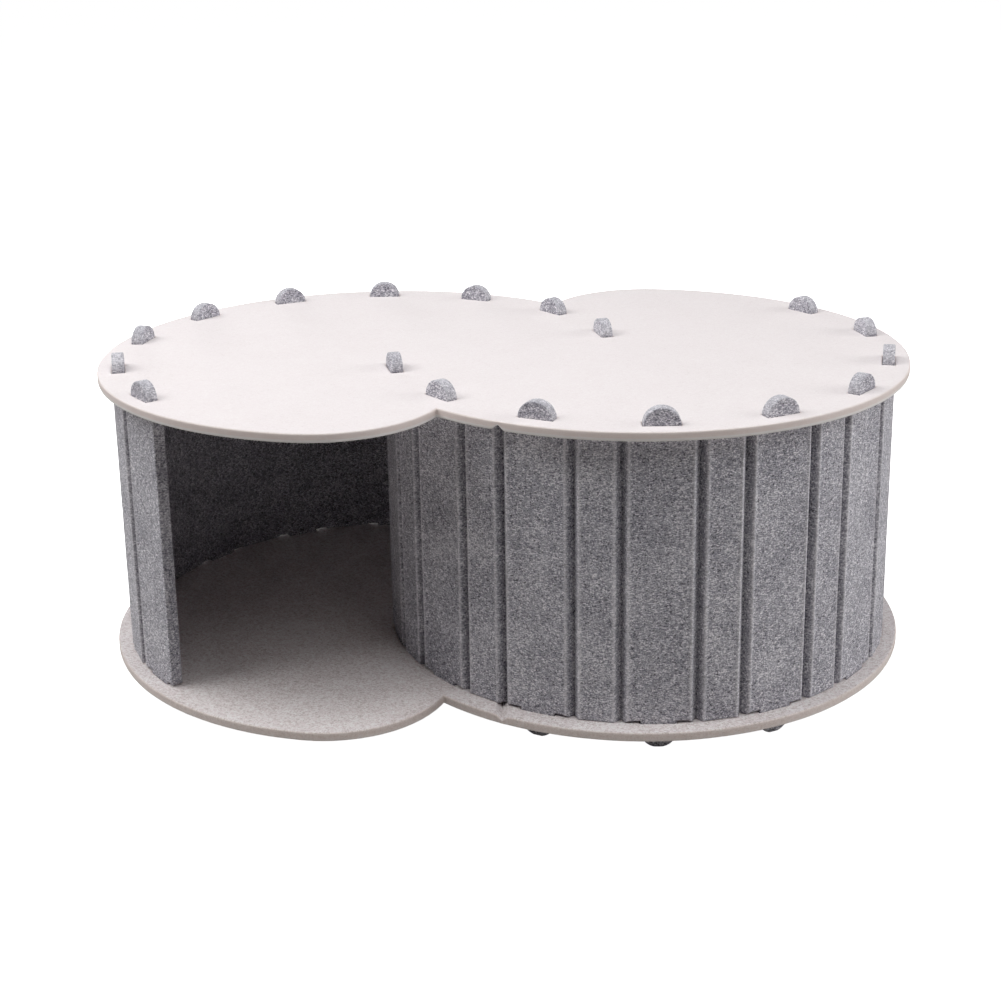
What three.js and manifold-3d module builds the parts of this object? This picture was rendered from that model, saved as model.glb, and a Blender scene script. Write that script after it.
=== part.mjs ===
// A cat tunnel bed of felt board, in millimetres, +Z up, with its origin on the floor under its middle.
// Four sheets make it. A base panel and a top panel share the outline of a rounded figure eight. Two
// alike walls stand between them, each scored on its outer face and bent into most of a circle, so that
// a tunnel leads in at one mouth, past both walls' inner ends, and out at the other mouth.
// Half-round tabs on the walls' edges pass through slots in the panels. The lower tabs are the feet.
import * as THREE from 'three';
import { mergeVertices } from 'three/addons/utils/BufferGeometryUtils.js';
import ManifoldModule from 'manifold-3d';

const manifold = await ManifoldModule();
manifold.setup();

const degrees = THREE.MathUtils.degToRad;

// Felt board
const PANEL_THICKNESS = 9;
const WALL_THICKNESS = 12;
const GAP = 0.3; // left between two sheets that rest on each other

// Walls, each round a centre of its own on the long axis
const WALL_CENTRE_X = 142;
const WALL_RADIUS = 260; // to the middle of the felt, at a tab
const CLEAR_HEIGHT = 287; // between the panels
const END_OVERHANG = 28; // from the last tab's middle to the wall's cut end

// Tabs, the same on a wall's upper and lower edge, counted from the mouth inwards
const TAB_COUNT = 9;
const TAB_PITCH = degrees(25.5);
const FIRST_TAB_ANGLE = degrees(219);
const TAB_WIDTH = 35;
const TAB_RISE = 16.5; // above the top panel
const FOOT_DROP = 16; // below the base panel, where the felt is pressed flat
const TAB_ROOT = 10; // how deep a tab's own outline reaches into the wall
const SLOT_CLEARANCE = 0.4;

// Score lines: V-shaped cuts down the wall's outer face, at the edges of each tab's wide strip
const WIDE_STRIP_ANGLE = degrees(15.75);
const SCORE_WIDTH = 10.5;
const SCORE_DEPTH = 8;

// The wide strips' lower edges stop short of the base beside their tabs
const RELIEF_HEIGHT = 2;
const RELIEF_LENGTH = 62;

// Panel outline: two big arcs, a tighter arc over each mouth, and a notch where the lobes meet
const LOBE_CENTRE_X = 138;
const LOBE_RADIUS = 285.5;
const NOTCH_ANGLE = degrees(46.6); // seen from the far lobe's centre
const SHOULDER_ANGLE = degrees(80.2); // where the tighter arc leaves the near lobe's circle
const ARC_STEP = degrees(4);

// Fold: a V-shaped cut across the middle of each panel, on the face turned to the inside
const FOLD_WIDTH = 11;
const FOLD_DEPTH = 5.5;

// Heights of the panels' faces
const BASE_BOTTOM = FOOT_DROP;
const BASE_TOP = BASE_BOTTOM + PANEL_THICKNESS;
const ROOF_BOTTOM = BASE_TOP + CLEAR_HEIGHT;
const ROOF_TOP = ROOF_BOTTOM + PANEL_THICKNESS;

const INNER_RADIUS = WALL_RADIUS - WALL_THICKNESS / 2;
const TAB_ANGLES = Array.from({ length: TAB_COUNT }, (_, k) => FIRST_TAB_ANGLE - k * TAB_PITCH);

const creamFelt = new THREE.MeshStandardMaterial({ color: '#e8e1dc', roughness: 0.95, metalness: 0 });
const greyFelt = new THREE.MeshStandardMaterial({ color: '#84858b', roughness: 0.95, metalness: 0 });

const polar = (radius, angle) => new THREE.Vector2(radius * Math.cos(angle), radius * Math.sin(angle));
const turned = (point) => point.clone().negate();

// Solids for cutting and joining
function toSolid(geometry) {
  const plain = geometry.clone();
  plain.deleteAttribute('normal');
  plain.deleteAttribute('uv');
  const merged = mergeVertices(plain, 1e-4);
  const vertProperties = new Float32Array(merged.attributes.position.array);
  const triVerts = new Uint32Array(merged.index.array);
  return new manifold.Manifold(new manifold.Mesh({ numProp: 3, vertProperties, triVerts }));
}

function toGeometry(solid) {
  const { vertProperties, triVerts } = solid.getMesh();
  const geometry = new THREE.BufferGeometry();
  geometry.setAttribute('position', new THREE.BufferAttribute(vertProperties, 3));
  geometry.setIndex(new THREE.BufferAttribute(triVerts, 1));
  geometry.computeVertexNormals();
  return geometry;
}

const extrude = (shape, depth) => new THREE.ExtrudeGeometry(shape, { depth, bevelEnabled: false, steps: 1 });

// Points along an arc, without its last one, where the next arc starts
function arcPoints(centre, radius, from, to) {
  const steps = Math.ceil((to - from) / ARC_STEP);
  return Array.from({ length: steps }, (_, i) => polar(radius, from + ((to - from) * i) / steps).add(centre));
}

// Half of the panel's outline: the tighter arc over one mouth, then the far lobe's big arc.
// The tighter arc touches its lobe's circle at the shoulder and runs through the notch.
function halfOutline() {
  const nearCentre = new THREE.Vector2(LOBE_CENTRE_X, 0);
  const farCentre = turned(nearCentre);
  const notch = polar(LOBE_RADIUS, NOTCH_ANGLE).add(farCentre);
  const toNotch = notch.clone().sub(nearCentre);
  const reach = toNotch.dot(polar(1, SHOULDER_ANGLE));
  const shoulderRadius =
    (toNotch.lengthSq() - 2 * LOBE_RADIUS * reach + LOBE_RADIUS ** 2) / (2 * (LOBE_RADIUS - reach));
  const shoulderCentre = polar(LOBE_RADIUS - shoulderRadius, SHOULDER_ANGLE).add(nearCentre);
  const notchOnShoulder = notch.clone().sub(shoulderCentre).angle();
  return [
    ...arcPoints(shoulderCentre, shoulderRadius, SHOULDER_ANGLE, notchOnShoulder),
    ...arcPoints(farCentre, LOBE_RADIUS, NOTCH_ANGLE, SHOULDER_ANGLE + Math.PI),
  ];
}

// A slot in the panel for the tab at this angle of the left wall
function slotCorners(angle) {
  const outward = polar(1, angle);
  const along = polar(1, angle + Math.PI / 2);
  const middle = outward.clone().multiplyScalar(WALL_RADIUS).add(new THREE.Vector2(-WALL_CENTRE_X, 0));
  const halfLength = TAB_WIDTH / 2 + SLOT_CLEARANCE;
  const halfWidth = WALL_THICKNESS / 2 + SLOT_CLEARANCE;
  return [[-1, -1], [-1, 1], [1, 1], [1, -1]].map(([a, b]) =>
    middle.clone().addScaledVector(along, a * halfLength).addScaledVector(outward, b * halfWidth)
  );
}

// A panel from its lower face up, with its slots and with the fold cut into one face
function panelGeometry(bottom, foldFace, foldSide) {
  const half = halfOutline();
  const shape = new THREE.Shape([...half, ...half.map(turned)]);
  const slots = TAB_ANGLES.map(slotCorners);
  for (const corners of [...slots, ...slots.map((slot) => slot.map(turned))]) {
    shape.holes.push(new THREE.Path(corners));
  }
  const sheet = toSolid(extrude(shape, PANEL_THICKNESS).translate(0, 0, bottom));
  return toGeometry(sheet.subtract(toSolid(foldCut(foldFace, foldSide))));
}

// The fold's cut: a triangle across the long axis, its point FOLD_DEPTH into the face.
// side is 1 where the cut opens upwards and -1 where it opens downwards.
function foldCut(face, side) {
  const clear = 1;
  const halfWidth = (FOLD_WIDTH / 2) * (1 + clear / FOLD_DEPTH);
  const triangle = new THREE.Shape([
    new THREE.Vector2(0, face - side * FOLD_DEPTH),
    new THREE.Vector2(halfWidth, face + side * clear),
    new THREE.Vector2(-halfWidth, face + side * clear),
  ]);
  const length = 4 * LOBE_RADIUS;
  return extrude(triangle, length).rotateX(Math.PI / 2).translate(0, length / 2, 0);
}

// The wall's plan: flat strips between score lines, a wide one at each tab and a narrow one between
function wallPlan() {
  const creaseRadius = INNER_RADIUS / Math.cos(WIDE_STRIP_ANGLE / 2);
  const halfTurn = TAB_PITCH / 4; // half of what the wall turns at a score line
  const cornerReach = WALL_THICKNESS / Math.cos(halfTurn);
  const webReach = cornerReach - SCORE_DEPTH;
  const inner = [endCorner(TAB_ANGLES[0], 1, INNER_RADIUS)];
  const outer = [endCorner(TAB_ANGLES[0], 1, INNER_RADIUS + WALL_THICKNESS)];

  function addCrease(vertexAngle, firstNormal, lastNormal) {
    const vertex = polar(creaseRadius, vertexAngle);
    const bisector = polar(1, (firstNormal + lastNormal) / 2);
    const corner = vertex.clone().addScaledVector(bisector, cornerReach);
    inner.push(vertex);
    outer.push(corner.clone().addScaledVector(polar(1, firstNormal + Math.PI / 2), SCORE_WIDTH / 2));
    outer.push(vertex.clone().addScaledVector(bisector, webReach));
    outer.push(corner.clone().addScaledVector(polar(1, lastNormal - Math.PI / 2), SCORE_WIDTH / 2));
  }

  for (let k = 0; k < TAB_COUNT - 1; k += 1) {
    const wide = TAB_ANGLES[k];
    const narrow = wide - TAB_PITCH / 2;
    const nextWide = TAB_ANGLES[k + 1];
    addCrease(wide - WIDE_STRIP_ANGLE / 2, wide, narrow);
    addCrease(nextWide + WIDE_STRIP_ANGLE / 2, narrow, nextWide);
  }
  inner.push(endCorner(TAB_ANGLES[TAB_COUNT - 1], -1, INNER_RADIUS));
  outer.push(endCorner(TAB_ANGLES[TAB_COUNT - 1], -1, INNER_RADIUS + WALL_THICKNESS));
  return new THREE.Shape([...inner, ...outer.reverse()]);
}

// A corner of the wall's cut end, past the tab at this angle. side is 1 towards larger angles.
function endCorner(angle, side, radius) {
  return polar(radius, angle).addScaledVector(polar(1, angle + (side * Math.PI) / 2), END_OVERHANG);
}

// Stands a shape drawn as seen from outside on a strip of the wall: its x runs along the strip
function standOnStrip(geometry, angle) {
  return geometry
    .rotateX(Math.PI / 2)
    .translate(0, INNER_RADIUS + WALL_THICKNESS, 0)
    .rotateZ(angle - Math.PI / 2);
}

// A tab from its root in the wall to its half-round tip, cut flat at reach from the panel's face.
// side is 1 on the upper edge and -1 on the lower one.
function tabGeometry(angle, root, face, reach, side) {
  const flatStart = Math.asin(reach / TAB_RISE);
  const steps = 6;
  const quarter = Array.from({ length: steps + 1 }, (_, i) => {
    const turn = (flatStart * i) / steps;
    return new THREE.Vector2((TAB_WIDTH / 2) * Math.cos(turn), face + side * TAB_RISE * Math.sin(turn));
  });
  const mirrored = quarter.map((p) => new THREE.Vector2(-p.x, p.y)).reverse();
  const tip = flatStart > Math.PI / 2 - 1e-6 ? mirrored.slice(1) : mirrored;
  const shape = new THREE.Shape([
    new THREE.Vector2(TAB_WIDTH / 2, root),
    ...quarter,
    ...tip,
    new THREE.Vector2(-TAB_WIDTH / 2, root),
  ]);
  return standOnStrip(extrude(shape, WALL_THICKNESS), angle);
}

// The gap beside a tab's root, as a block through the wide strip's lower edge
function reliefGeometry(angle) {
  const clear = 1;
  const height = RELIEF_HEIGHT + clear;
  const block = new THREE.BoxGeometry(RELIEF_LENGTH, WALL_THICKNESS + 4 * clear, height);
  return block.translate(0, WALL_RADIUS, BASE_TOP - clear + height / 2).rotateZ(angle - Math.PI / 2);
}

function wallGeometry() {
  const height = CLEAR_HEIGHT - 2 * GAP;
  let wall = toSolid(extrude(wallPlan(), height).translate(0, 0, BASE_TOP + GAP));
  for (const angle of TAB_ANGLES) {
    wall = wall
      .subtract(toSolid(reliefGeometry(angle)))
      .add(toSolid(tabGeometry(angle, ROOF_BOTTOM - TAB_ROOT, ROOF_TOP, TAB_RISE, 1)))
      .add(toSolid(tabGeometry(angle, BASE_TOP + TAB_ROOT, BASE_BOTTOM, FOOT_DROP, -1)));
  }
  return toGeometry(wall);
}

function sheet(name, geometry, material) {
  const mesh = new THREE.Mesh(geometry, material);
  mesh.name = name;
  return mesh;
}

const bed = new THREE.Group();
bed.name = 'cat_tunnel_bed';

bed.add(sheet('base_panel', panelGeometry(BASE_BOTTOM, BASE_TOP, 1), creamFelt));
bed.add(sheet('top_panel', panelGeometry(ROOF_BOTTOM, ROOF_BOTTOM, -1), creamFelt));

const scoredWall = wallGeometry();
const leftWall = sheet('wall_left', scoredWall, greyFelt);
leftWall.position.x = -WALL_CENTRE_X;
const rightWall = sheet('wall_right', scoredWall, greyFelt);
rightWall.position.x = WALL_CENTRE_X;
rightWall.rotation.z = Math.PI;
bed.add(leftWall, rightWall);

export default bed;
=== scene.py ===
# A cat tunnel bed of felt board: four boards are cut flat, scored, folded and put together, then lit
# and photographed. Everything is in metres, +Z up, with the origin on the floor under the bed.
import math

import bpy
import numpy as np
from bpy.props import FloatProperty, FloatVectorProperty, IntProperty, PointerProperty
from mathutils import Matrix, Vector
from mathutils.geometry import delaunay_2d_cdt


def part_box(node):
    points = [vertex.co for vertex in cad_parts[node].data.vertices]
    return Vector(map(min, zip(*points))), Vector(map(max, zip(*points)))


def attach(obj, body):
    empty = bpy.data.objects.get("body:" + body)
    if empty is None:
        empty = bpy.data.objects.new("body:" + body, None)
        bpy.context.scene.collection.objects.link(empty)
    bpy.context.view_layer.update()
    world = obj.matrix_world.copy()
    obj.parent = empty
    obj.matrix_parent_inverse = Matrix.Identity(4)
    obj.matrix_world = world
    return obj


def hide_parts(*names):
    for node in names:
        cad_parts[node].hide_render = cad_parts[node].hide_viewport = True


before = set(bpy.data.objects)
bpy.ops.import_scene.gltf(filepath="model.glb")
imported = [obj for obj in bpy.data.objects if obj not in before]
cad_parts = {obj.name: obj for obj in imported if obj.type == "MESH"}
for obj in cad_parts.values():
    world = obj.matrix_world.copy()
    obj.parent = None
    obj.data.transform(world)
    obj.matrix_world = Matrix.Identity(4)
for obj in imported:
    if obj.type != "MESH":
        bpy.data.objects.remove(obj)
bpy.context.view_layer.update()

bl_info = {
    "name": "Felt cat tunnel bed",
    "version": (1, 0, 0),
    "blender": (4, 5, 0),
    "location": "3D View > Sidebar > Cat bed",
    "description": "Cuts, scores and folds the felt boards of a cat tunnel bed and sets up its studio",
    "category": "Add Mesh",
}

MM = 0.001

# The sheet's own map, and the marks on it that the felt follows
SHEET_MAP = "sheet"
CUT_EDGE = "cut_edge"
# The score lines' lips are paler partly from worn fuzz and partly as a painted highlight, and their
# flanks carry painted shade
SCORE_LIP = "score_lip"
SCORE_FLANK = "score_flank"
# Painted highlight on the tips of the tabs and on the panels' lower lips
PAINTED_HIGHLIGHT_MARK = "painted_edge_highlight"

BASE_LOW, BASE_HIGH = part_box("base_panel")
ROOF_LOW, ROOF_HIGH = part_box("top_panel")


# Sizes and colours that a user would change


class WallSizes(bpy.types.PropertyGroup):
    """How the walls are cut, scored and folded"""

    thickness: FloatProperty(
        name="Thickness", description="Thickness of the wall felt",
        default=12 * MM, unit="LENGTH",
    )
    centre: FloatProperty(
        name="Centre", description="Distance of each wall's centre from the middle",
        default=142 * MM, unit="LENGTH",
    )
    radius: FloatProperty(
        name="Radius", description="From a wall's centre to the middle of the felt at a tab",
        default=260 * MM, unit="LENGTH",
    )
    overhang: FloatProperty(
        name="End overhang", description="From the last tab's middle to the cut end",
        default=28 * MM, unit="LENGTH",
    )
    gap: FloatProperty(
        name="Gap", description="Left between the wall and each panel",
        default=0.3 * MM, unit="LENGTH",
    )
    tabs: IntProperty(name="Tabs", description="Tabs on each long edge", default=9)
    tab_turn: FloatProperty(
        name="Tab turn", description="Angle from tab to tab",
        default=math.radians(25.5), unit="ROTATION",
    )
    first_tab: FloatProperty(
        name="First tab", description="Direction of the tab at the mouth",
        default=math.radians(219), unit="ROTATION",
    )
    wide_strip: FloatProperty(
        name="Wide strip", description="Angle that a tab's wide strip covers",
        default=math.radians(15.75), unit="ROTATION",
    )
    tab_width: FloatProperty(
        name="Tab width", description="Width of a tab",
        default=35 * MM, unit="LENGTH",
    )
    tab_rise: FloatProperty(
        name="Tab rise", description="Height of a tab's half-round tip",
        default=16.5 * MM, unit="LENGTH",
    )
    relief: FloatProperty(
        name="Relief", description="Gap under the wide strip beside its lower tab",
        default=1.7 * MM, unit="LENGTH",
    )
    relief_length: FloatProperty(
        name="Relief length", description="Length of that gap, tab included",
        default=62 * MM, unit="LENGTH",
    )
    score_width: FloatProperty(
        name="Score width", description="Opening of a score line after folding",
        default=10.5 * MM, unit="LENGTH",
    )
    score_depth: FloatProperty(
        name="Score depth", description="Depth of a score line",
        default=8 * MM, unit="LENGTH",
    )
    lip: FloatProperty(
        name="Lip", description="How far the felt swells beside a score line",
        default=0.6 * MM, unit="LENGTH",
    )
    rounding: FloatProperty(
        name="Rounding", description="Radius of the felt's worn edges",
        default=1.3 * MM, unit="LENGTH",
    )


class PanelSizes(bpy.types.PropertyGroup):
    """How the base and top panels are cut, with their slots and fold lines"""

    lobe_centre: FloatProperty(
        name="Lobe centre", description="Distance of each lobe's centre from the middle",
        default=138 * MM, unit="LENGTH",
    )
    lobe_radius: FloatProperty(
        name="Lobe radius", description="Radius of each big arc",
        default=285.5 * MM, unit="LENGTH",
    )
    notch: FloatProperty(
        name="Notch", description="Direction of the notch from the far lobe's centre",
        default=math.radians(46.6), unit="ROTATION",
    )
    shoulder: FloatProperty(
        name="Shoulder", description="Where the tighter arc leaves the near lobe",
        default=math.radians(80.2), unit="ROTATION",
    )
    slot_clearance: FloatProperty(
        name="Slot clearance", description="Room round a tab in its slot",
        default=0.4 * MM, unit="LENGTH",
    )
    fold_width: FloatProperty(
        name="Fold width", description="Opening of the fold's cut",
        default=11 * MM, unit="LENGTH",
    )
    fold_depth: FloatProperty(
        name="Fold depth", description="Depth of the fold's cut",
        default=5.5 * MM, unit="LENGTH",
    )
    rounding: FloatProperty(
        name="Rounding", description="Radius of the felt's worn edges",
        default=1.5 * MM, unit="LENGTH",
    )


class FeltLooks(bpy.types.PropertyGroup):
    """Colours and surface of the two felts"""

    grey: FloatVectorProperty(
        name="Grey felt", description="Mean colour of the walls",
        default=(0.378, 0.372, 0.432), size=3, subtype="COLOR",
    )
    grey_dark: FloatVectorProperty(
        name="Grey dark fibres", description="Dark fibres in the walls",
        default=(0.050, 0.047, 0.056), size=3, subtype="COLOR",
    )
    grey_light: FloatVectorProperty(
        name="Grey light fibres", description="Light fibres in the walls",
        default=(0.97, 0.95, 0.99), size=3, subtype="COLOR",
    )
    cream: FloatVectorProperty(
        name="Cream felt", description="Mean colour of the roof",
        default=(0.80, 0.745, 0.75), size=3, subtype="COLOR",
    )
    # The base is the same felt as the roof, painted darker and warmer as shade
    cream_base_painted_shade: FloatVectorProperty(
        name="Base felt", description="Mean colour of the base",
        default=(0.785, 0.700, 0.705), size=3, subtype="COLOR",
    )
    cream_dark: FloatVectorProperty(
        name="Cream dark fibres", description="Dark fibres in the panels",
        default=(0.55, 0.49, 0.47), size=3, subtype="COLOR",
    )
    cream_light: FloatVectorProperty(
        name="Cream light fibres", description="Light fibres in the panels",
        default=(0.90, 0.88, 0.87), size=3, subtype="COLOR",
    )
    cream_edge: FloatVectorProperty(
        name="Cream cut edge", description="Cut edges of the panels",
        default=(0.82, 0.705, 0.655), size=3, subtype="COLOR",
    )
    unevenness: FloatProperty(
        name="Unevenness", description="Height of the felt's soft waves",
        default=0.5 * MM, unit="LENGTH",
    )
    raggedness: FloatProperty(
        name="Raggedness", description="Roughness of the felt's cut edges",
        default=0.5 * MM, unit="LENGTH",
    )
    seed: IntProperty(
        name="Seed", description="Seed of everything random in the felt",
        default=7,
    )


class StageSettings(bpy.types.PropertyGroup):
    """Floor, lights and camera"""

    floor: FloatVectorProperty(
        name="Floor", description="Colour of the studio floor",
        default=(0.93, 0.93, 0.93), size=3, subtype="COLOR",
    )
    ground: FloatVectorProperty(
        name="Ground", description="Colour that the light finds under the paper",
        default=(0.48, 0.46, 0.44), size=3, subtype="COLOR",
    )
    floor_glow: FloatProperty(
        name="Floor glow", description="Brightness that the paper floor has by itself",
        default=1.0,
    )
    left: FloatProperty(
        name="Left light", description="Power of the left light in watts",
        default=36,
    )
    right: FloatProperty(
        name="Right light", description="Power of the right light in watts",
        default=22,
    )
    fill: FloatProperty(
        name="Front light", description="Power of the light at the front right in watts",
        default=10,
    )
    top: FloatProperty(
        name="Top light", description="Power of the top light in watts",
        default=27,
    )
    back: FloatProperty(
        name="Back light", description="Power of the low light behind the bed in watts",
        default=22,
    )
    lens: FloatProperty(
        name="Lens", description="Focal length on a 36 mm wide frame",
        default=57.71 * MM, unit="LENGTH",
    )
    place: FloatVectorProperty(
        name="Camera place", description="Where the camera stands",
        default=(0.03740, -1.64400, 0.76480), size=3, subtype="TRANSLATION",
    )
    pitch: FloatProperty(
        name="Pitch", description="How far the camera looks down",
        default=math.radians(15.12), unit="ROTATION",
    )
    yaw: FloatProperty(
        name="Yaw", description="How far the camera is turned to the left",
        default=math.radians(1.38), unit="ROTATION",
    )
    roll: FloatProperty(
        name="Roll", description="How far the camera leans",
        default=math.radians(-0.86), unit="ROTATION",
    )
    rise: FloatProperty(
        name="Lens shift", description="Vertical shift of the lens, as a share of the frame",
        default=-0.15,
    )


# Node trees


class Value:
    """A node's output that adds Math nodes when it is used in an expression"""

    def __init__(self, tree, socket):
        self.tree = tree
        self.socket = socket

    def math(self, operation, *values):
        return self.tree.add("ShaderNodeMath", {"operation": operation}, dict(enumerate(values)))

    def __add__(self, other):
        return self.math("ADD", self, other)

    def __radd__(self, other):
        return self.math("ADD", other, self)

    def __sub__(self, other):
        return self.math("SUBTRACT", self, other)

    def __rsub__(self, other):
        return self.math("SUBTRACT", other, self)

    def __mul__(self, other):
        return self.math("MULTIPLY", self, other)

    def __rmul__(self, other):
        return self.math("MULTIPLY", other, self)

    def __truediv__(self, other):
        return self.math("DIVIDE", self, other)

    def __rtruediv__(self, other):
        return self.math("DIVIDE", other, self)

    def __neg__(self):
        return self.math("MULTIPLY", self, -1.0)

    def __abs__(self):
        return self.math("ABSOLUTE", self)

    def sine(self):
        return self.math("SINE", self)

    def cosine(self):
        return self.math("COSINE", self)

    def tangent(self):
        return self.math("TANGENT", self)

    def root(self):
        return self.math("SQRT", self)

    def exponential(self):
        return self.math("EXPONENT", self)

    def rounded(self):
        return self.math("ROUND", self)

    def sign(self):
        return self.math("SIGN", self)

    def or_larger(self, other):
        return self.math("MAXIMUM", self, other)

    def rising(self, low, high):
        """0 below low, 1 above high and smooth between them"""
        sockets = {"Value": self, "From Min": low, "From Max": high, "To Min": 0.0, "To Max": 1.0}
        return self.tree.add("ShaderNodeMapRange", {"interpolation_type": "SMOOTHSTEP"}, sockets)


class Tree:
    """A node tree, with one method that adds a node, sets it and fills its sockets"""

    ROWS = 7
    NODE_SPACE = (190, -170)

    def __init__(self, nodes_and_links):
        self.tree = nodes_and_links

    def add(self, kind, settings=None, sockets=None, output=0):
        node = self.tree.nodes.new(kind)
        column, row = divmod(len(self.tree.nodes), self.ROWS)
        node.location = (self.NODE_SPACE[0] * column, self.NODE_SPACE[1] * row)
        for name, value in (settings or {}).items():
            setattr(node, name, value)
        for key, value in (sockets or {}).items():
            self.fill(node.inputs[key], value)
        return Value(self, node.outputs[output]) if len(node.outputs) else None

    def fill(self, socket, value):
        if isinstance(value, Value):
            self.tree.links.new(value.socket, socket)
        else:
            socket.default_value = value

    def noise(self, dimensions, vector, scale, detail, **others):
        """Noise between 0 and 1, mostly near a half, with about scale blobs to a unit of the vector"""
        sockets = {"Vector": vector, "Scale": scale, "Detail": detail, **others}
        return self.add("ShaderNodeTexNoise", {"noise_dimensions": dimensions}, sockets)


class Recipe(Tree):
    """A geometry node tree for felt boards, with named inputs, applied to one blank at a time"""

    def __init__(self, name, numbers):
        group = bpy.data.node_groups.new(name, "GeometryNodeTree")
        group.is_modifier = True
        super().__init__(group)
        inputs = [("Geometry", "NodeSocketGeometry")]
        inputs += [(label, "NodeSocketFloat") for label in (*numbers, "Unevenness", "Raggedness")]
        inputs += [("Seed", "NodeSocketInt"), ("Material", "NodeSocketMaterial")]
        for label, kind in inputs:
            group.interface.new_socket(label, in_out="INPUT", socket_type=kind)
        group.interface.new_socket("Geometry", in_out="OUTPUT", socket_type="NodeSocketGeometry")
        self.start = group.nodes.new("NodeGroupInput")
        self.end = group.nodes.new("NodeGroupOutput")

    def input(self, label):
        return Value(self, self.start.outputs[label])

    def move(self, x, y, z):
        """The blank with its points moved to these places"""
        place = self.add("ShaderNodeCombineXYZ", {}, {0: x, 1: y, 2: z})
        sockets = {"Geometry": self.input("Geometry"), "Position": place}
        return self.add("GeometryNodeSetPosition", {}, sockets)

    def coordinates(self):
        """The x, y and z of each point"""
        position = self.add("GeometryNodeInputPosition")
        return [
            self.add("ShaderNodeSeparateXYZ", {}, {0: position}, output=axis) for axis in range(3)
        ]

    def finish(self, geometry):
        """Realizes the geometry, gives it its material and hands it out"""
        real = self.add("GeometryNodeRealizeInstances", {}, {"Geometry": geometry})
        sockets = {"Geometry": real, "Material": self.input("Material")}
        self.fill(self.end.inputs["Geometry"], self.add("GeometryNodeSetMaterial", {}, sockets))

    def apply(self, blank, name, values):
        """The blank's mesh after this recipe, as a new plain object called name"""
        modifier = blank.modifiers.new("recipe", "NODES")
        modifier.node_group = self.tree
        for item in self.tree.interface.items_tree:
            if item.item_type == "SOCKET" and item.in_out == "INPUT" and item.name in values:
                modifier[item.identifier] = values[item.name]
        graph = bpy.context.evaluated_depsgraph_get()
        mesh = bpy.data.meshes.new_from_object(
            blank.evaluated_get(graph), preserve_all_data_layers=True, depsgraph=graph
        )
        blank.modifiers.remove(modifier)
        mesh.name = name
        piece = bpy.data.objects.new(name, mesh)
        bpy.context.scene.collection.objects.link(piece)
        return piece


# How soft a cut's lips are, as a share of its half width, and where the felt swells beside them
CUT_SOFTNESS = 0.12
SWELLING_OFFSET = 1.7 * MM
SWELLING_SPREAD = 1.1 * MM

# Length over which a wall bends on each side of a score line
FOLD_SOFTNESS = 2.4 * MM

# The felt's soft waves and the frays of its cut edges, per metre, and the steps through their noise
# from seed to seed and from the waves to the frays
WAVES = 22.0
FRAYS = 330.0
SEED_STEP = 1.37
FRAYS_STEP = 5.0


def v_cut(distance, half_width, depth):
    """How deep a V-shaped cut with soft lips is at this distance from its middle"""
    share = 1.0 - distance / half_width
    return depth * (share + (share * share + CUT_SOFTNESS * CUT_SOFTNESS).root()) * 0.5


def swelling(distance, half_width, height):
    """The low swelling of the felt just outside a cut's lips"""
    beside = (distance - half_width - SWELLING_OFFSET) / SWELLING_SPREAD
    return height * (-(beside * beside)).exponential()


def soften(tree, geometry):
    """Moves the surface along its normal: soft waves everywhere and a ragged cut edge"""
    position = tree.add("GeometryNodeInputPosition")
    normal = tree.add("GeometryNodeInputNormal")
    seed = tree.input("Seed") * SEED_STEP
    wave = tree.noise("4D", position, WAVES, 2.0, W=seed)
    rough = tree.noise("4D", position, FRAYS, 2.0, W=seed + FRAYS_STEP)
    edge = tree.add("GeometryNodeInputNamedAttribute", {"data_type": "FLOAT"}, {"Name": CUT_EDGE})
    lift = (wave - 0.5) * tree.input("Unevenness") + (rough - 0.5) * tree.input("Raggedness") * edge
    offset = tree.add("ShaderNodeVectorMath", {"operation": "SCALE"}, {0: normal, "Scale": lift})
    return tree.add("GeometryNodeSetPosition", {}, {"Geometry": geometry, "Offset": offset})


def score_and_fold_recipe():
    """Turns a flat wall blank into the folded wall. The blank's x runs along the sheet from the middle
    tab, its y goes through the felt from the inner face, and its z is the height."""
    numbers = (
        "Inner Radius", "Centre", "Side", "Tab Turn", "Wide Strip", "Middle Tab", "Thickness",
        "Score Depth", "Score Width", "Lip", "Fold Softness",
    )
    tree = Recipe("Score and fold a wall", numbers)
    along, through, height = tree.coordinates()
    turn, wide, radius = tree.input("Tab Turn"), tree.input("Wide Strip"), tree.input("Inner Radius")
    felt = tree.input("Thickness")

    # The nearest tab, by the spacing that wall_layout gives the blank
    half_wide = radius * (wide * 0.5).tangent()
    half_narrow = radius / (wide * 0.5).cosine() * ((turn - wide) * 0.5).sine()
    number = (along / ((half_wide + half_narrow) * 2.0)).rounded()
    from_tab = along - number * (half_wide + half_narrow) * 2.0
    past = abs(from_tab) - half_wide

    # Score lines. Folding opens a cut, so it is made narrower in the flat sheet.
    half_cut = tree.input("Score Width") * 0.5 - felt * (turn * 0.25).tangent()
    cut = v_cut(abs(past), half_cut, tree.input("Score Depth"))
    raised = swelling(abs(past), half_cut, tree.input("Lip"))
    depth = through * (1.0 - (cut - raised) / felt)

    # Folds. Each point is folded beside its nearest tab and then turned round the wall's centre.
    softness = tree.input("Fold Softness")
    bend = turn * 0.5 * past.rising(-softness, softness)
    across = from_tab.sign() * (half_wide + past * bend.cosine() + depth * bend.sine())
    out = radius - past * bend.sine() + depth * bend.cosine()
    angle = tree.input("Middle Tab") - number * turn - math.pi / 2
    x = across * angle.cosine() - out * angle.sine() - tree.input("Centre")
    y = across * angle.sine() + out * angle.cosine()
    side = tree.input("Side")
    tree.finish(soften(tree, tree.move(x * side, y * side, height)))
    return tree


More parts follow.
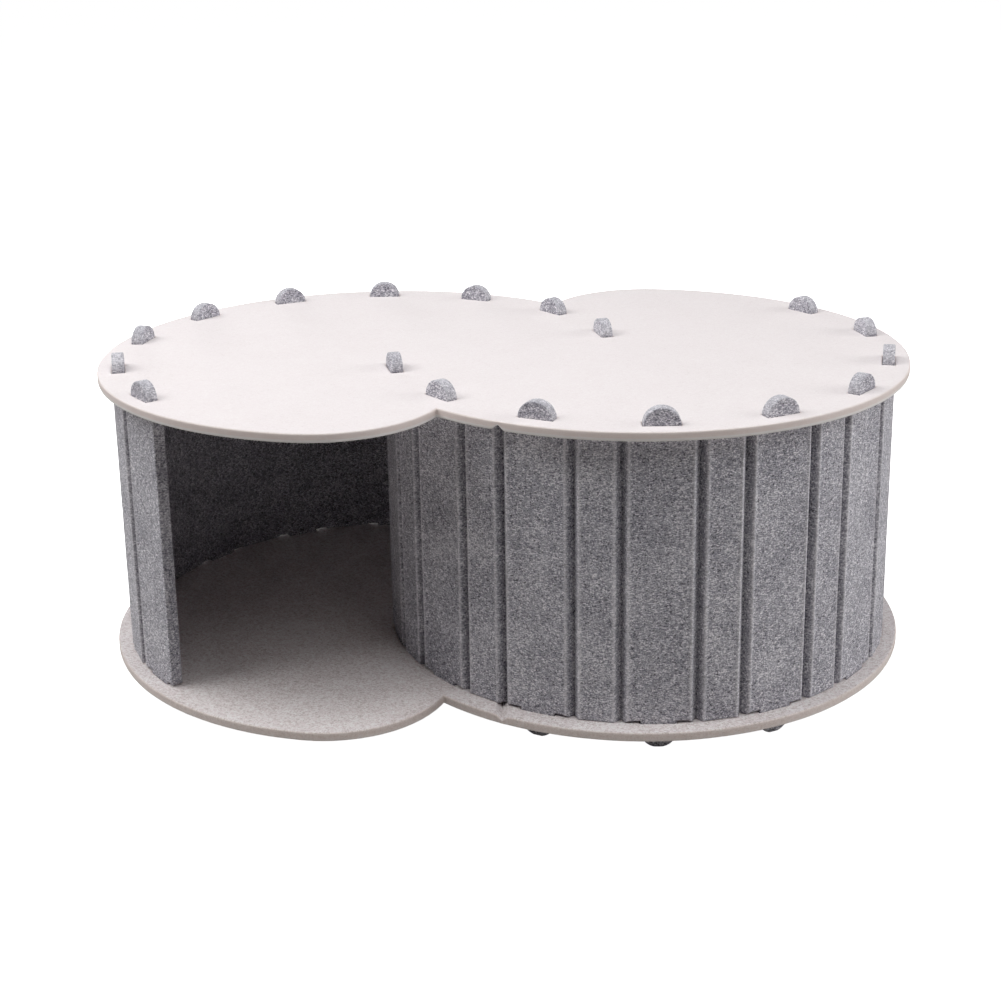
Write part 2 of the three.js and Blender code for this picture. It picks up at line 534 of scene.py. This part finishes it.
def fold_line_recipe():
    """Cuts a panel blank's fold line and lifts the panel to its height"""
    numbers = ("Bottom", "Thickness", "Fold Width", "Fold Depth", "Upper Face")
    tree = Recipe("Cut a panel's fold", numbers)
    x, y, through = tree.coordinates()
    felt, upper = tree.input("Thickness"), tree.input("Upper Face")
    cut = v_cut(abs(x), tree.input("Fold Width") * 0.5, tree.input("Fold Depth")) / felt
    from_top = felt - through
    height = through - through * cut * upper + from_top * cut * (1.0 - upper)
    tree.finish(soften(tree, tree.move(x, y, tree.input("Bottom") + height)))
    return tree


def felt_inputs(looks, material, seed):
    """What both recipes need to know about the felt"""
    return {
        "Unevenness": looks.unevenness,
        "Raggedness": looks.raggedness,
        "Seed": looks.seed + seed,
        "Material": material,
    }


# Flat blanks


# Lines along a cut edge: how far past the rounding the faces begin, the degrees round each rounding
# and the shares of the flat middle that have a line
PROFILE_SUPPORT = 0.9 * MM
PROFILE_TURNS = (0, 30, 60, 90)
PROFILE_SHARES = (0.16, 0.33, 0.67)

# Room between the border of a blank's face and the points inside it, and points tested at a time
BORDER_ROOM = 1.7 * MM
BLOCK = 2000

# Longest step along a cut edge, and between the lines of a wall's and of a panel's mesh
EDGE_STEP = 3 * MM
WALL_STEP = 6.5 * MM
WALL_ROW_STEP = 7.5 * MM
PANEL_STEP = 7 * MM


def between(start, end, step):
    """Numbers from start up to end, end left out, in even steps of at most this length"""
    roundoff = 1e-6
    count = max(1, math.ceil(abs(end - start) / step - roundoff))
    return [start + (end - start) * i / count for i in range(count)]


def inside(points, loops):
    """Which points lie inside the loops, holes left out"""
    result = np.zeros(len(points), bool)
    x, y = points[:, 0], points[:, 1]
    for loop in loops:
        for (x0, y0), (x1, y1) in zip(loop, np.roll(loop, -1, axis=0)):
            if y0 == y1:
                continue
            crosses = (y0 > y) != (y1 > y)
            result ^= crosses & (x < (x1 - x0) * (y - y0) / (y1 - y0) + x0)
    return result


def inset(loop, distance):
    """The loop moved to its left, into the sheet, with mitred corners"""
    before = loop - np.roll(loop, 1, axis=0)
    after = np.roll(loop, -1, axis=0) - loop
    before /= np.linalg.norm(before, axis=1)[:, None]
    after /= np.linalg.norm(after, axis=1)[:, None]
    first = np.stack([-before[:, 1], before[:, 0]], axis=1)
    second = np.stack([-after[:, 1], after[:, 0]], axis=1)
    total = first + second
    scale = 1 + (first * second).sum(axis=1)
    return loop + distance * total / scale[:, None]


def far_from(points, loops, distance):
    """Which points are farther than this from every point of the loops"""
    keep = np.ones(len(points), bool)
    border = np.concatenate(loops)
    for block in np.array_split(np.arange(len(points)), max(1, len(points) // BLOCK)):
        across = points[block, None, 0] - border[None, :, 0]
        along = points[block, None, 1] - border[None, :, 1]
        keep[block] = np.hypot(across, along).min(axis=1) > distance
    return keep


def edge_profile(thickness, rounding):
    """Steps round a cut edge from one face to the other: how far in, how far through"""
    support = rounding + PROFILE_SUPPORT
    turns = [math.radians(turn) for turn in PROFILE_TURNS]
    corner = [(rounding * (1 - math.sin(a)), rounding * (1 - math.cos(a))) for a in turns]
    flat = thickness - 2 * rounding
    middle = [(0.0, rounding + flat * share) for share in PROFILE_SHARES]
    other = [(i, thickness - t) for i, t in reversed(corner)]
    return [(support, 0.0), *corner, *middle, *other, (support, thickness)]


def face_triangles(borders, flat):
    """Triangles that fill the sheet inside its borders, counter-clockwise. flat holds the borders'
    points and then the points between them."""
    edges, start = [], 0
    for border in borders:
        count = len(border)
        edges += [(start + i, start + (i + 1) % count) for i in range(count)]
        start += count
    output_type, epsilon, need_ids = 1, 1e-7, True
    made = delaunay_2d_cdt([Vector(p) for p in flat], edges, [], output_type, epsilon, need_ids)
    source = [found[0] for found in made[3]]
    triangles = np.array([[source[i] for i in face] for face in made[2]])
    triangles = triangles[inside(flat[triangles].mean(axis=1), borders)]
    corners = flat[triangles]
    one, two = corners[:, 1] - corners[:, 0], corners[:, 2] - corners[:, 0]
    backward = one[:, 0] * two[:, 1] - one[:, 1] * two[:, 0] < 0
    triangles[backward] = triangles[backward][:, ::-1]
    return triangles


def edge_faces(loops, rings):
    """Faces between the rings round each loop. rings holds the number of each ring's first vertex."""
    faces, start = [], 0
    for loop in loops:
        length = len(loop)
        for low, high in zip(rings, rings[1:]):
            for i in range(length):
                a, b = start + i, start + (i + 1) % length
                faces.append((low + a, low + b, high + b, high + a))
        start += length
    return faces


def cut_blank(name, loops, lattice, thickness, rounding, marks):
    """A closed flat sheet with rounded edges. loops are the outline, counter-clockwise, and the holes,
    clockwise. lattice holds points inside it, and marks gives each vertex its place and attributes."""
    steps = edge_profile(thickness, rounding)
    borders = [inset(loop, steps[0][0]) for loop in loops]
    points = lattice[inside(lattice, borders)]
    points = points[far_from(points, borders, BORDER_ROOM)]
    flat = np.concatenate([*borders, points])
    triangles = face_triangles(borders, flat)

    # Both faces and then the rings of the edges between them, each with its places, its places in
    # the sheet's map and its shares of the cut edge
    count, rim = len(flat), sum(len(border) for border in borders)
    places = [np.column_stack([flat, np.full(count, height)]) for height in (0.0, thickness)]
    spread = [flat, flat]
    shares = [np.zeros(count), np.zeros(count)]
    outer = np.concatenate(loops)
    outward = np.concatenate([loop - inset(loop, 1.0) for loop in loops])
    outward /= np.maximum(np.linalg.norm(outward, axis=1), 1e-9)[:, None]
    for distance, through in steps[1:-1]:
        ring = np.concatenate([inset(loop, distance) for loop in loops])
        places.append(np.column_stack([ring, np.full(rim, through)]))
        spread.append(outer + outward * (through - distance))
        shares.append(np.full(rim, 1 - distance / rounding))
    rings = [0, *(2 * count + i * rim for i in range(len(steps) - 2)), count]
    faces = [tuple(face[::-1]) for face in triangles] + [tuple(face + count) for face in triangles]
    faces += edge_faces(loops, rings)

    placed, values = marks(np.concatenate(places), np.concatenate(shares))
    mesh = bpy.data.meshes.new(name)
    mesh.from_pydata(placed.tolist(), [], faces)
    mesh.shade_smooth()
    for label, numbers in values.items():
        attribute = mesh.attributes.new(label, "FLOAT", "POINT")
        attribute.data.foreach_set("value", numbers.astype(np.float32))
    layer = mesh.uv_layers.new(name=SHEET_MAP)
    corner_vertices = np.zeros(len(mesh.loops), np.int32)
    mesh.loops.foreach_get("vertex_index", corner_vertices)
    map_places = np.concatenate(spread)[corner_vertices]
    layer.uv.foreach_set("vector", map_places.astype(np.float32).ravel())
    mesh.validate()
    return bpy.data.objects.new(name, mesh)


# Walls


# Millimetres from a score line's middle to the lines of the mesh beside it
SCORE_COLUMNS = (0.5, 1.2, 2.1, 3.0, 3.6, 4.2, 4.8, 5.5, 6.3, 7.2, 8.4)

# Rows of a wall's mesh, from its edges, from the base's lower face and from the roof's upper face
EDGE_ROWS = (4 * MM, 10 * MM)
LOWER_TAB_ROWS = (-10 * MM, -3 * MM, 4 * MM)
UPPER_TAB_ROWS = (-5 * MM, 3 * MM, 10 * MM)

# A score line's lips, paler from worn fuzz and a painted highlight, are palest at LIP_PLACE from its
# middle, and its flanks, darkened as painted shade, end at FLANK_END and fade over FLANK_FADE, all in
# millimetres
LIP_PLACE = 5.3
LIP_SPREAD = 1.7
FLANK_END = 4.485
FLANK_FADE = 3.9

# Points round each side of a tab's tip, the step along its flat end, the shortest flat end and the
# height over which the tip's painted highlight fades in
TIP_POINTS = 9
TIP_STEP = 2.6 * MM
SHORTEST_TIP = 1 * MM
TIP_FADE = 2 * MM

# Room that the outline's points keep to the wall's ends and to the tabs' sides
END_ROOM = 2.6 * MM
TAB_ROOM = 1.5 * MM

# Length over which the gap under a wide strip closes
RELIEF_RAMP = 2.4 * MM


def wall_layout(sizes):
    """Half the length of the flat wall, its tabs' places and its score lines' places"""
    inner = sizes.radius - sizes.thickness / 2
    half_wide = inner * math.tan(sizes.wide_strip / 2)
    corner_radius = inner / math.cos(sizes.wide_strip / 2)
    half_narrow = corner_radius * math.sin((sizes.tab_turn - sizes.wide_strip) / 2)
    period = 2 * (half_wide + half_narrow)
    middle = (sizes.tabs - 1) / 2
    tabs = [(k - middle) * period for k in range(sizes.tabs)]
    scores = [tab + half_wide for tab in tabs[:-1]] + [tab - half_wide for tab in tabs[1:]]
    return tabs[-1] + sizes.overhang, tabs, sorted(scores)


def wall_columns(half_length, scores):
    """Places along the wall where its mesh has lines, close together at each score line"""
    fixed = {-half_length, half_length}
    for score in scores:
        fixed.update([score, *(score + s * c * MM for c in SCORE_COLUMNS for s in (-1, 1))])
    fixed = sorted(fixed)
    columns = []
    for start, end in zip(fixed, fixed[1:]):
        columns += between(start, end, WALL_STEP)
    return columns + [fixed[-1]]


def tab_outline(middle, half_width, root, face, reach, rise):
    """From one side of a tab, round its half-round tip, to the other side, without the root points.
    reach is where the tip is cut flat, measured from the panel's face."""
    side = 1 if rise > 0 else -1
    height = abs(rise)
    last = math.asin(min(1.0, reach / height))
    points = [(half_width, z) for z in between(root, face, EDGE_STEP)[1:]]
    turns = np.linspace(0, last, TIP_POINTS)
    points += [(half_width * math.cos(a), face + side * height * math.sin(a)) for a in turns]
    tip, end = points[-1]
    mirrored = [(-x, z) for x, z in reversed(points)]
    if tip > SHORTEST_TIP:
        flat = [(x, end) for x in between(tip, -tip, TIP_STEP)[1:]]
    else:
        flat = []
        mirrored = mirrored[1:]
    return [(middle + x, z) for x, z in [*points, *flat, *mirrored]]


def wall_outline(sizes, columns, half_length, tabs, low, high):
    """The flat wall's outline, counter-clockwise with x to the right and z up"""
    half_tab = sizes.tab_width / 2
    base_low, roof_high = BASE_LOW[2], ROOF_HIGH[2]

    def lower_edge(x):
        beside = min(abs(x - tab) for tab in tabs)
        ramp = ((sizes.relief_length + RELIEF_RAMP) / 2 - beside) / RELIEF_RAMP
        return low + sizes.relief * min(1.0, max(0.0, ramp))

    points = [(-half_length, lower_edge(-half_length))]
    clear = [x for x in columns if abs(x) < half_length - END_ROOM]
    clear = [x for x in clear if all(abs(x - tab) > half_tab + TAB_ROOM for tab in tabs)]
    for tab in tabs:
        points += [(x, lower_edge(x)) for x in clear if points[-1][0] < x < tab]
        root = lower_edge(tab - half_tab)
        across = tab_outline(tab, half_tab, root, base_low, base_low, -sizes.tab_rise)
        points += [(tab - half_tab, root), *reversed(across), (tab + half_tab, root)]
    points += [(x, lower_edge(x)) for x in clear if x > points[-1][0]]
    start = lower_edge(half_length)
    points += [(half_length, z) for z in between(start, high, EDGE_STEP)]
    points.append((half_length, high))
    for tab in reversed(tabs):
        points += [(x, high) for x in reversed(clear) if tab < x < points[-1][0]]
        across = tab_outline(tab, half_tab, high, roof_high, sizes.tab_rise, sizes.tab_rise)
        points += [(tab + half_tab, high), *across, (tab - half_tab, high)]
    points += [(x, high) for x in reversed(clear) if x < points[-1][0]]
    points += [(-half_length, z) for z in between(high, start, EDGE_STEP)]
    return np.array(points)


def wall_blank(sizes):
    """The flat wall. Its marks are the cut edge, the lips and flanks of the score lines, which carry
    wear with a painted highlight and painted shade, and the tips' painted highlight
    """
    low, high = BASE_HIGH[2] + sizes.gap, ROOF_LOW[2] - sizes.gap
    half_length, tabs, scores = wall_layout(sizes)
    columns = wall_columns(half_length, scores)
    outline = wall_outline(sizes, columns, half_length, tabs, low, high)
    first, second = EDGE_ROWS
    rows = [low + first, *between(low + second, high - second, WALL_ROW_STEP)]
    rows += [high - second, high - first]
    rows += [BASE_LOW[2] + height for height in LOWER_TAB_ROWS]
    rows += [ROOF_HIGH[2] + height for height in UPPER_TAB_ROWS]
    lattice = np.array([(x, z) for x in columns for z in rows])
    score_places = np.array(scores)

    def marks(places, edge):
        x, z, through = places.T
        placed = np.column_stack([x, sizes.thickness - through, z])
        off = np.abs(x[:, None] - score_places[None, :]).min(axis=1) / MM
        outer_side = np.clip(1 - through / (0.5 * sizes.thickness), 0, 1)
        # Lips paler from worn fuzz and a painted highlight, and flanks darkened as painted shade
        lip = np.exp(-(((off - LIP_PLACE) / LIP_SPREAD) ** 2)) * outer_side
        flank = np.clip((FLANK_END - off) / FLANK_FADE, 0, 1) * outer_side
        # The cut edge of a tab above the roof gets a painted highlight
        tip = edge * np.clip((z - ROOF_HIGH[2]) / TIP_FADE, 0, 1)
        return placed, {CUT_EDGE: edge, SCORE_LIP: lip, SCORE_FLANK: flank, PAINTED_HIGHLIGHT_MARK: tip}

    return cut_blank("wall_blank", [outline], lattice, sizes.thickness, sizes.rounding, marks)


# Panels


# Millimetres from the fold's middle to the lines of the mesh beside it
FOLD_COLUMNS = (0.5, 1.4, 2.6, 3.8, 4.7, 5.5, 6.4, 7.6)

# Painted highlight on the lower lip of a panel's cut edge: where it ends, and the height over which it
# fades
PANEL_LIP_END = 3.4 * MM
PANEL_LIP_FADE = 1.2 * MM


def arc(centre, radius, start, end):
    """Points from start up to end, end left out"""
    count = math.ceil((end - start) * radius / EDGE_STEP)
    turns = [start + (end - start) * i / count for i in range(count)]
    return [(centre[0] + radius * math.cos(a), centre[1] + radius * math.sin(a)) for a in turns]


def panel_outline(sizes):
    """Two big arcs and a tighter arc over each mouth, with a notch where the lobes meet"""
    radius = sizes.lobe_radius
    near = Vector((sizes.lobe_centre, 0))
    far = -near
    notch = far + radius * Vector((math.cos(sizes.notch), math.sin(sizes.notch)))
    towards = Vector((math.cos(sizes.shoulder), math.sin(sizes.shoulder)))
    to_notch = notch - near
    reach = to_notch.dot(towards)
    shoulder = (to_notch.length_squared - 2 * radius * reach + radius**2) / (2 * (radius - reach))
    centre = near + towards * (radius - shoulder)
    at_notch = math.atan2(notch.y - centre.y, notch.x - centre.x)
    half = arc(centre, shoulder, sizes.shoulder, at_notch)
    half += arc(far, radius, sizes.notch, sizes.shoulder + math.pi)
    return np.array(half + [(-x, -y) for x, y in half])


def slot_outlines(sizes, walls):
    """The slots of both walls, each clockwise"""
    half_length = walls.tab_width / 2 + sizes.slot_clearance
    half_width = walls.thickness / 2 + sizes.slot_clearance
    signs = ((-1, -1), (1, -1), (1, 1), (-1, 1))
    corners = [(along * half_length, across * half_width) for along, across in signs]
    loop = []
    for (x0, y0), (x1, y1) in zip(corners, corners[1:] + corners[:1]):
        steps = between(0, 1, EDGE_STEP / math.hypot(x1 - x0, y1 - y0))
        loop += [(x0 + (x1 - x0) * t, y0 + (y1 - y0) * t) for t in steps]
    loop = np.array(loop)[::-1]
    slots = []
    for k in range(walls.tabs):
        angle = walls.first_tab - k * walls.tab_turn
        out = np.array([math.cos(angle), math.sin(angle)])
        side = np.array([-out[1], out[0]])
        place = out * walls.radius - np.array([walls.centre, 0])
        turned = place - loop[:, :1] * side + loop[:, 1:] * out
        slots += [turned, -turned]
    return slots


def panel_blank(sizes, walls, thickness):
    """The flat panel, before its fold is cut. Its marks are the cut edge and the painted highlight on
    its lower lip
    """
    loops = [panel_outline(sizes), *slot_outlines(sizes, walls)]
    low, high = loops[0].min(axis=0), loops[0].max(axis=0)
    fold = sorted({0.0, *(s * c * MM for c in FOLD_COLUMNS for s in (-1, 1))})
    columns = [
        *between(low[0], fold[0], PANEL_STEP),
        *fold,
        *between(high[0], fold[-1], PANEL_STEP),
    ]
    rows = between(low[1], high[1], PANEL_STEP)
    lattice = np.array([(x, y) for x in columns for y in rows])

    def marks(places, edge):
        zeros = np.zeros(len(places))
        below = np.clip((PANEL_LIP_END - places[:, 2]) / PANEL_LIP_FADE, 0, 1)
        lower_lip = (edge > 0) * below
        return places, {CUT_EDGE: edge, SCORE_LIP: zeros, SCORE_FLANK: zeros, PAINTED_HIGHLIGHT_MARK: lower_lip}

    return cut_blank("panel_blank", loops, lattice, thickness, sizes.rounding, marks)


# Felt


# Patterns in the felt, per metre. A fibre has a number across it and one along it.
SPECKLES = 620.0
CLUMPS = 210.0
CLOUDS = 20.0
LIGHT_FIBRES = (1400.0, 230.0)
DARK_FIBRES = (1300.0, 210.0)

# Degrees that the layers of fibres are turned by in the sheet, and how far each is moved from the
# one before it, so that no layer repeats another
LIGHT_TURNS = (12, 58, 103, 149)
DARK_TURNS = (34, 82, 127, 171)
LAYER_STEP = (3.1, 1.7, 0.9)

# A fibre shows where its noise is above these, with this weight beside the tone
LIGHT_FROM = 0.59
DARK_FROM = 0.63
STREAKS = 2.6

# Most that the marks on the blank change the colour: lips paler from worn fuzz and a painted
# highlight, and flanks darker as painted shade
LIP_WEAR_AND_HIGHLIGHT = 0.38
FLANK_PAINTED_SHADE = 0.35


def fibres(tree, flat, density, turns):
    """Short streaks that cross at several angles, as needled fibres do. Mostly a little above a half"""
    across, along = density
    total = None
    for index, turn in enumerate(turns):
        sockets = {
            "Vector": flat,
            "Location": tuple(step * index for step in LAYER_STEP),
            "Rotation": (0, 0, math.radians(turn)),
            "Scale": (along, across, 1.0),
        }
        turned = tree.add("ShaderNodeMapping", {"vector_type": "POINT"}, sockets)
        streak = tree.noise("2D", turned, 1.0, 1.0, Roughness=0.6, Distortion=0.35)
        total = total.or_larger(streak) if total else streak
    return total


def mixed(tree, factor, first, second):
    """A colour mix. Mix nodes keep their colour sockets at 6 and 7 and give the colour out at 2"""
    colours = {6: first, 7: second}
    sockets = {k: v if isinstance(v, Value) else (*v, 1.0) for k, v in colours.items()}
    return tree.add("ShaderNodeMix", {"data_type": "RGBA"}, {0: factor, **sockets}, output=2)


def felt_material(name, mean, dark, light, edge, edge_share, contrast, edge_highlight_share):
    """Needled felt: speckles, crossing fibres, soft clouds, lips paler from worn fuzz and a painted
    highlight, flanks darkened as painted shade, a painted highlight on tips and lower lips, and a
    tinted cut edge
    """
    material = bpy.data.materials.new(name)
    material.use_nodes = True
    material.diffuse_color = (*mean, 1.0)
    material.node_tree.nodes.clear()
    tree = Tree(material.node_tree)
    place = tree.add("ShaderNodeTexCoord", output=3)
    flat = tree.add("ShaderNodeUVMap", {"uv_map": SHEET_MAP})
    cut, lip, flank, painted_edge_highlight = (
        tree.add("ShaderNodeAttribute", {"attribute_name": mark}, output=2)
        for mark in (CUT_EDGE, SCORE_LIP, SCORE_FLANK, PAINTED_HIGHLIGHT_MARK)
    )
    speckle = tree.noise("3D", place, SPECKLES, 2.0, Roughness=0.6)
    clump = tree.noise("3D", place, CLUMPS, 2.0, Roughness=0.6)
    cloud = tree.noise("3D", place, CLOUDS, 3.0, Roughness=0.6)
    pale = fibres(tree, flat, LIGHT_FIBRES, LIGHT_TURNS)
    black = fibres(tree, flat, DARK_FIBRES, DARK_TURNS)

    # How much of the light and the dark fibres shows. The flanks of score lines are cut felt,
    # with more speckles and hardly a streak, and below they are darkened as painted shade.
    tone = (speckle - 0.5) * (1.6 + flank) + (clump - 0.5) * 0.7 + (cloud - 0.5) * 0.5
    streaks = STREAKS * contrast * (1.0 - 0.9 * flank)
    lighter = (tone * contrast + (pale - LIGHT_FROM) * streaks).rising(0.0, 0.42)
    darker = (-(tone * contrast) + (black - DARK_FROM) * streaks).rising(0.03, 0.49)
    colour = mixed(tree, lighter, mean, light)
    colour = mixed(tree, darker, colour, dark)
    colour = mixed(tree, cut * edge_share * (1.0 - 0.37 * clump), colour, edge)
    # Lips paler from worn fuzz and a painted highlight
    colour = mixed(tree, lip * LIP_WEAR_AND_HIGHLIGHT, colour, light)
    # Painted shade in the flanks of the score lines
    colour = mixed(tree, flank * FLANK_PAINTED_SHADE, colour, dark)
    # Painted highlight on the tabs' tips and the panels' lower lips
    colour = mixed(tree, painted_edge_highlight * edge_highlight_share, colour, light)

    height = speckle * 0.6 + pale * 0.7 - black * 0.35 + clump * 0.5
    relief = {"Strength": 0.55, "Distance": 0.5 * MM, "Height": height}
    surface = {
        "Base Color": colour,
        "Roughness": 0.95,
        "Metallic": 0.0,
        "Specular IOR Level": 0.15,
        "Sheen Weight": 0.22,
        "Sheen Roughness": 0.45,
        "Normal": tree.add("ShaderNodeBump", {}, relief),
    }
    shader = tree.add("ShaderNodeBsdfPrincipled", {}, surface)
    tree.add("ShaderNodeOutputMaterial", {}, {"Surface": shader})
    return material


def grey_felt(looks):
    return felt_material(
        "grey_felt", looks.grey, looks.grey_dark, looks.grey_light, looks.grey_dark,
        edge_share=0.3, contrast=0.84, edge_highlight_share=0.18,
    )


def cream_felt(name, mean, looks, contrast):
    return felt_material(
        name, mean, looks.cream_dark, looks.cream_light, looks.cream_edge,
        edge_share=0.82, contrast=contrast, edge_highlight_share=0.9,
    )


# Operators


# How far above the walls' seeds the panels' begin
PANEL_SEEDS = 10


class MakeWalls(bpy.types.Operator):
    """Cut the two walls, score them and fold them round their centres"""

    bl_idname = "catbed.make_walls"
    bl_label = "Make the walls"

    def execute(self, context):
        sizes, looks = context.scene.catbed_walls, context.scene.catbed_felt
        material = grey_felt(looks)
        blank = wall_blank(sizes)
        context.scene.collection.objects.link(blank)
        recipe = score_and_fold_recipe()
        half_length = wall_layout(sizes)[0]
        shape = {
            "Inner Radius": sizes.radius - sizes.thickness / 2,
            "Centre": sizes.centre,
            "Tab Turn": sizes.tab_turn,
            "Wide Strip": sizes.wide_strip,
            "Middle Tab": sizes.first_tab - (sizes.tabs - 1) / 2 * sizes.tab_turn,
            "Thickness": sizes.thickness,
            "Score Depth": sizes.score_depth,
            "Score Width": sizes.score_width,
            "Lip": sizes.lip,
            "Fold Softness": FOLD_SOFTNESS,
        }
        for name, side in (("wall_left", 1), ("wall_right", -1)):
            values = {**shape, "Side": float(side), **felt_inputs(looks, material, side)}
            wall = recipe.apply(blank, name + "_felt", values)
            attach(wall, "root")
            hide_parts(name)
            2 * half_length
        bpy.data.objects.remove(blank)
        return {"FINISHED"}


class MakePanels(bpy.types.Operator):
    """Cut the base and top panels with their slots and fold lines"""

    bl_idname = "catbed.make_panels"
    bl_label = "Make the panels"

    def execute(self, context):
        scene = context.scene
        sizes, looks = scene.catbed_panels, scene.catbed_felt
        # Lit and shaded copies of one felt: the roof's copy has its mottling faded as a painted
        # highlight, and the base's copy is darker, warmer and more mottled as painted shade
        roof_felt = cream_felt("cream_felt", looks.cream, looks, contrast=0.35)
        base_felt = cream_felt("cream_felt_painted_shade", looks.cream_base_painted_shade, looks, contrast=1.4)
        recipe = fold_line_recipe()
        thickness = BASE_HIGH[2] - BASE_LOW[2]
        blank = panel_blank(sizes, scene.catbed_walls, thickness)
        scene.collection.objects.link(blank)
        shape = {
            "Thickness": thickness,
            "Fold Width": sizes.fold_width,
            "Fold Depth": sizes.fold_depth,
        }

        # Height of the lower face, felt, 1 if the fold is cut from above, share of the painted
        # highlight on the lower lip, and what the panel lies on
        panels = {
            "base_panel": (BASE_LOW[2], base_felt, 1.0, 0.3, []),
            "top_panel": (ROOF_LOW[2], roof_felt, 0.0, 1.0, ["wall_left_felt", "wall_right_felt"]),
        }
        for index, (name, (bottom, material, upper, lip, under)) in enumerate(panels.items()):
            values = {**shape, "Bottom": bottom, "Upper Face": upper}
            values.update(felt_inputs(looks, material, PANEL_SEEDS + index))
            panel = recipe.apply(blank, name + "_felt", values)
            # The painted highlight on the lower lip is scaled by the panel's share
            for value in panel.data.attributes[PAINTED_HIGHLIGHT_MARK].data:
                value.value *= lip
            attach(panel, "root")
            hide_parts(name)
        bpy.data.objects.remove(blank)
        return {"FINISHED"}


class MakeStage(bpy.types.Operator):
    """Lay the floor, hang the lights and place the camera"""

    bl_idname = "catbed.make_stage"
    bl_label = "Make the stage"

    FLOOR_REACH = 40.0
    LIGHTS_AIM = Vector((0, 0, 0.15))
    SENSOR_WIDTH = 36

    def execute(self, context):
        scene, settings = context.scene, context.scene.catbed_stage
        self.lay_floor(scene, settings)
        self.light(scene, settings)
        self.paint_room(scene)
        self.place_camera(scene, settings)
        scene.view_settings.view_transform = "Standard"
        return {"FINISHED"}

    def lay_floor(self, scene, settings):
        """White paper for the camera, and the duller floor just below it that the light bounces off"""
        paper = self.plane("floor", 0.0, settings.floor, settings.floor_glow)
        paper.visible_diffuse = False
        paper.visible_shadow = False
        ground = self.plane("ground", -1 * MM, settings.ground, 0.0)
        ground.visible_camera = False
        for floor in (paper, ground):
            scene.collection.objects.link(floor)

    def plane(self, name, height, colour, glow):
        mesh = bpy.data.meshes.new(name)
        corners = [(-1, -1), (1, -1), (1, 1), (-1, 1)]
        places = [(x * self.FLOOR_REACH, y * self.FLOOR_REACH, height) for x, y in corners]
        mesh.from_pydata(places, [], [(0, 1, 2, 3)])
        material = bpy.data.materials.new("studio_" + name)
        material.use_nodes = True
        shader = material.node_tree.nodes["Principled BSDF"]
        shader.inputs["Base Color"].default_value = (*colour, 1)
        shader.inputs["Roughness"].default_value = 0.9
        shader.inputs["Specular IOR Level"].default_value = 0.0
        shader.inputs["Emission Color"].default_value = (1, 1, 1, 1)
        shader.inputs["Emission Strength"].default_value = glow
        mesh.materials.append(material)
        return bpy.data.objects.new(name, mesh)

    def light(self, scene, settings):
        """Square lamps, each with its place, its width and its power"""
        lamps = (
            ("left_light", (-1.6, -0.05, 1.9), 1.8, settings.left),
            ("right_light", (2.2, -0.1, 0.9), 1.5, settings.right),
            ("front_light", (0.9, -1.2, 2.1), 1.0, settings.fill),
            ("top_light", (0.0, -0.3, 2.6), 1.2, settings.top),
            ("back_light", (-1.0, 2.2, 0.35), 0.6, settings.back),
        )
        for name, place, size, power in lamps:
            data = bpy.data.lights.new(name, "AREA")
            data.shape = "SQUARE"
            data.size = size
            data.energy = power
            lamp = bpy.data.objects.new(name, data)
            lamp.location = place
            aim = self.LIGHTS_AIM - Vector(place)
            lamp.rotation_euler = aim.to_track_quat("-Z", "Y").to_euler()
            scene.collection.objects.link(lamp)

    def paint_room(self, scene):
        """A room that the camera sees as white and that gives no light"""
        world = bpy.data.worlds.new("studio")
        world.use_nodes = True
        world.node_tree.nodes.clear()
        tree = Tree(world.node_tree)
        seen = tree.add("ShaderNodeLightPath")
        white = {"Color": (1.0, 1.0, 1.0, 1.0), "Strength": seen}
        background = tree.add("ShaderNodeBackground", {}, white)
        tree.add("ShaderNodeOutputWorld", {}, {"Surface": background})
        scene.world = world

    def place_camera(self, scene, settings):
        data = bpy.data.cameras.new("camera")
        data.sensor_width = self.SENSOR_WIDTH
        data.lens = settings.lens / MM
        data.shift_y = settings.rise
        camera = bpy.data.objects.new("camera", data)
        place = Matrix.Translation(settings.place)
        turned = Matrix.Rotation(settings.yaw, 4, "Z")
        tilted = Matrix.Rotation(math.pi / 2 - settings.pitch, 4, "X")
        camera.matrix_world = place @ turned @ tilted @ Matrix.Rotation(settings.roll, 4, "Z")
        scene.collection.objects.link(camera)
        scene.camera = camera


class BedPanel(bpy.types.Panel):
    """Buttons for the cat tunnel bed"""

    bl_idname = "VIEW3D_PT_catbed"
    bl_label = "Cat tunnel bed"
    bl_space_type = "VIEW_3D"
    bl_region_type = "UI"
    bl_category = "Cat bed"

    def draw(self, context):
        for operator in (MakePanels, MakeWalls, MakeStage):
            self.layout.operator(operator.bl_idname)


GROUPS = {
    "catbed_walls": WallSizes,
    "catbed_panels": PanelSizes,
    "catbed_felt": FeltLooks,
    "catbed_stage": StageSettings,
}
CLASSES = (*GROUPS.values(), MakePanels, MakeWalls, MakeStage, BedPanel)


def register():
    for item in CLASSES:
        bpy.utils.register_class(item)
    for name, group in GROUPS.items():
        setattr(bpy.types.Scene, name, PointerProperty(type=group))


def unregister():
    for name in GROUPS:
        delattr(bpy.types.Scene, name)
    for item in reversed(CLASSES):
        bpy.utils.unregister_class(item)


def main():
    register()
    bpy.ops.catbed.make_panels()
    bpy.ops.catbed.make_walls()
    bpy.ops.catbed.make_stage()


if __name__ == "__main__":
    main()
